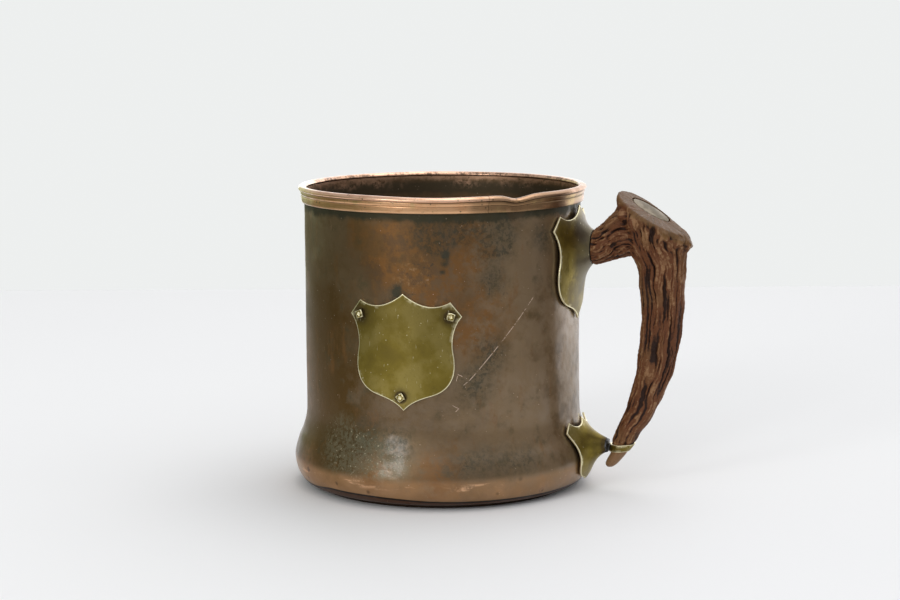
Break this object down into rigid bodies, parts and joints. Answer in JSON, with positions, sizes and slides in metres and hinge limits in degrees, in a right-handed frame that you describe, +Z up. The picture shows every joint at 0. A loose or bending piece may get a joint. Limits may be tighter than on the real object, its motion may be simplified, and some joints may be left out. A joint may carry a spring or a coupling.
{
  "type": "copper mug with antler handle",
  "caption": "Straight-sided copper mug with a flared foot, rolled rim band, riveted brass shield plaque and an antler handle in brass shield brackets.",
  "frame": {"origin": "centre of the base pan's flat underside, where the mug's axis meets the surface it stands on", "axes": "+Z up along the mug's axis, +X from the axis towards the handle, -Y towards the front plaque"},
  "size_m": [0.154, 0.1148, 0.115],
  "materials": {
    "body_copper": "brown patinated copper sheet with darker stains and fine scratches",
    "rim_copper": "worn bright copper moulding with brown patina in its grooves",
    "aged_brass": "olive-gold aged brass, bright along its worn edges",
    "stag_antler": "dark red-brown ridged stag antler, polished tan at the cut crown and the tip",
    "disc_metal": "dull warm grey white-metal",
    "soft_solder": "dark oxidised soft solder",
    "socket_pitch": "dark brown setting pitch"
  },
  "bodies": {
    "root": {"body_shell": "body_copper", "base_pan": "body_copper", "base_solder": "soft_solder", "rim_band": "rim_copper", "shield_plaque": "aged_brass", "plaque_rivet_left": "aged_brass", "plaque_rivet_right": "aged_brass", "plaque_rivet_bottom": "aged_brass", "upper_bracket": "aged_brass", "socket_cement": "socket_pitch", "antler_handle": "stag_antler", "crown_disc": "disc_metal", "lower_bracket": "aged_brass", "collar_solder": "soft_solder", "tip_collar": "aged_brass"}
  },
  "joints": []
}
